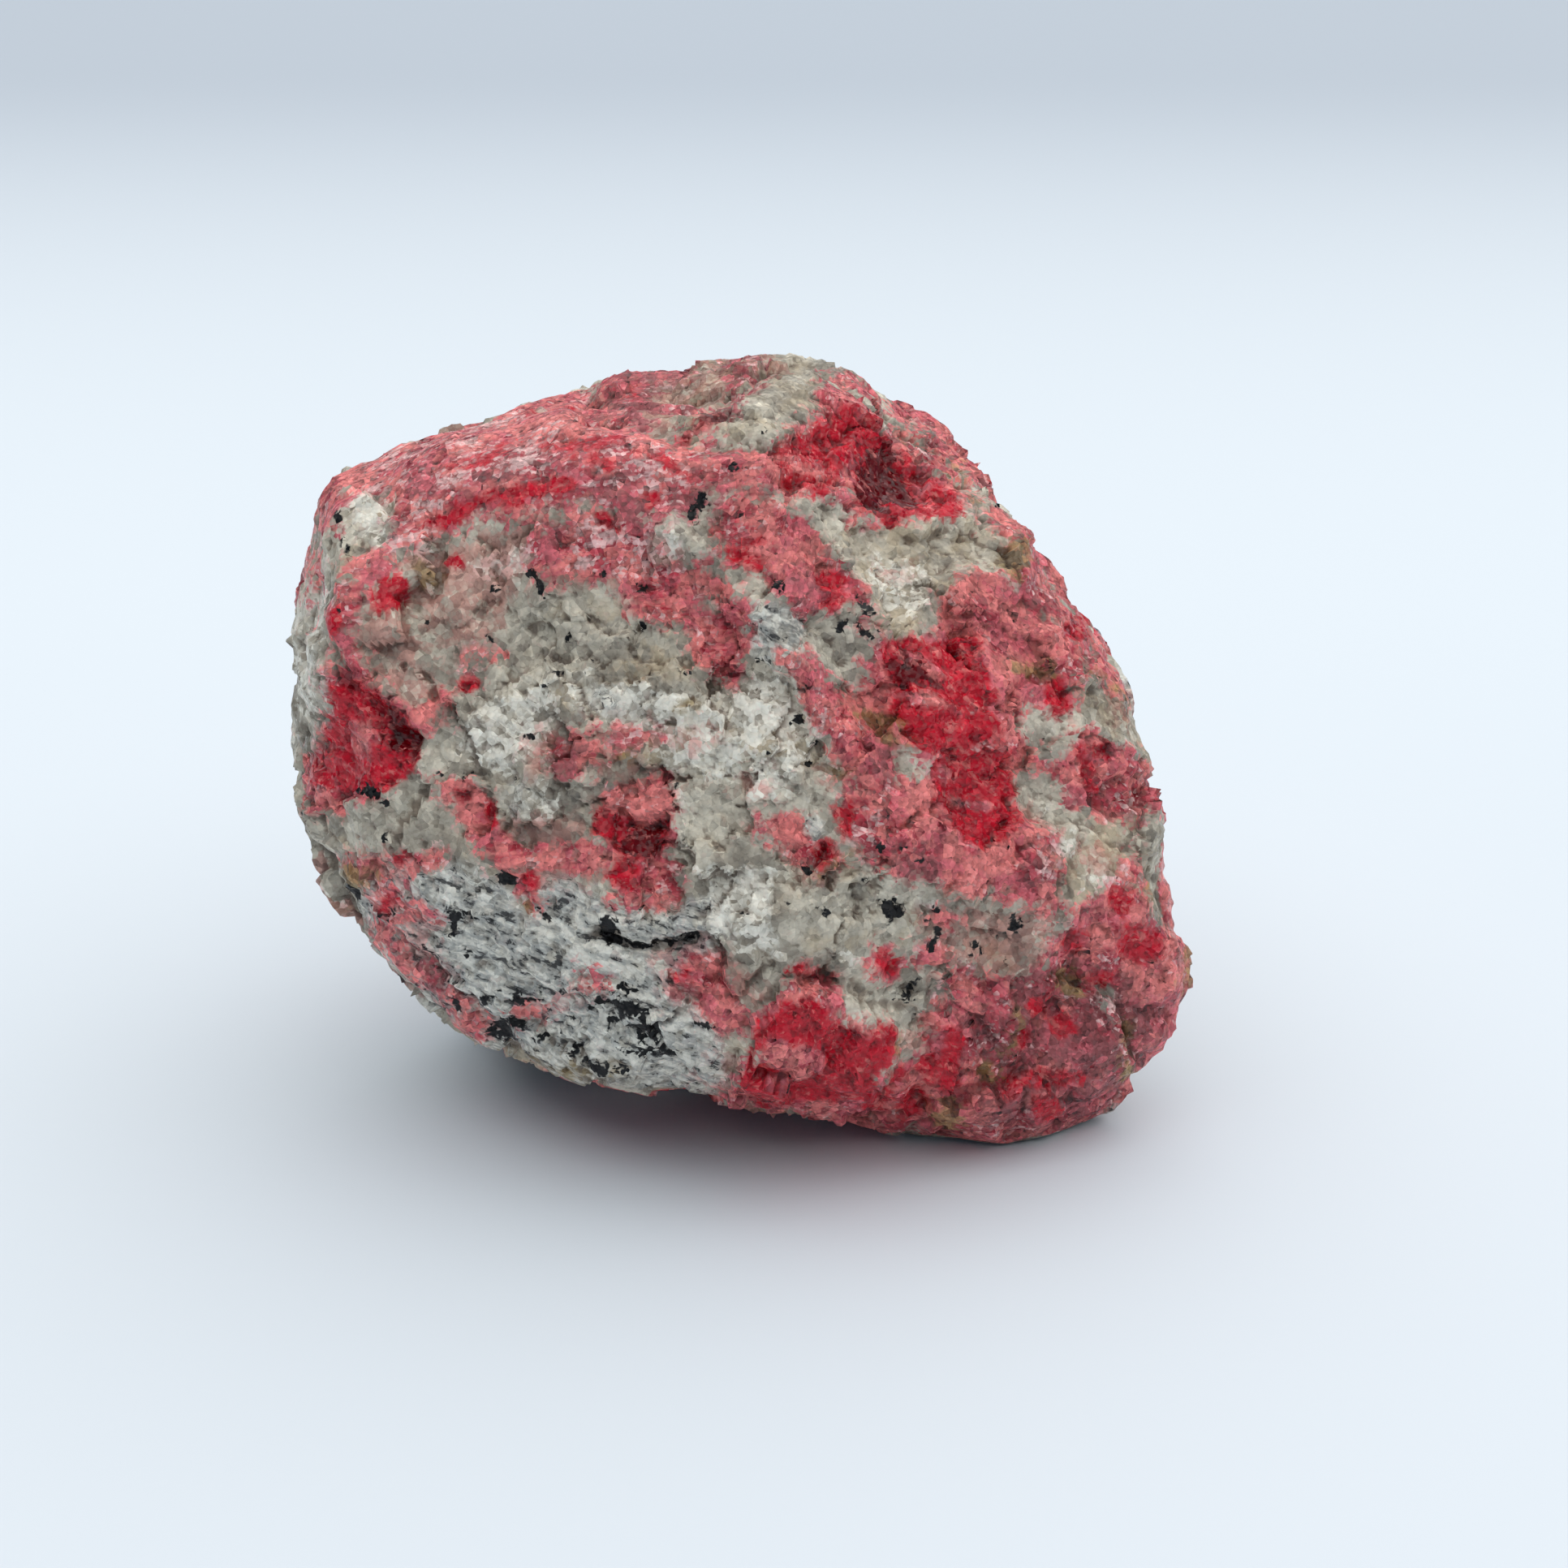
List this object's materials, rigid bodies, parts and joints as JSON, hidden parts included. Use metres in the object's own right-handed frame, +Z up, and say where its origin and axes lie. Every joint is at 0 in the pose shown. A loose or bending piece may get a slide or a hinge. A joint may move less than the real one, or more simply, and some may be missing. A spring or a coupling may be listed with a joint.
{
  "type": "rhodonite specimen",
  "caption": "Rough broken lump of pink rhodonite in pale grainy quartz, lying on a flat side, for display or as a loose rock.",
  "frame": {"origin": "on the ground, under the middle of the stone's bounding box", "axes": "+X to the right along the broad side, which is the longest extent; -Y towards the viewer of the broad side; +Z up"},
  "size_m": [0.0692, 0.055, 0.056],
  "materials": {
    "stone": "rough broken stone, rose and crimson rhodonite in pale quartz with black streaks"
  },
  "bodies": {
    "root": {"rhodonite_stone": "stone"}
  },
  "joints": []
}
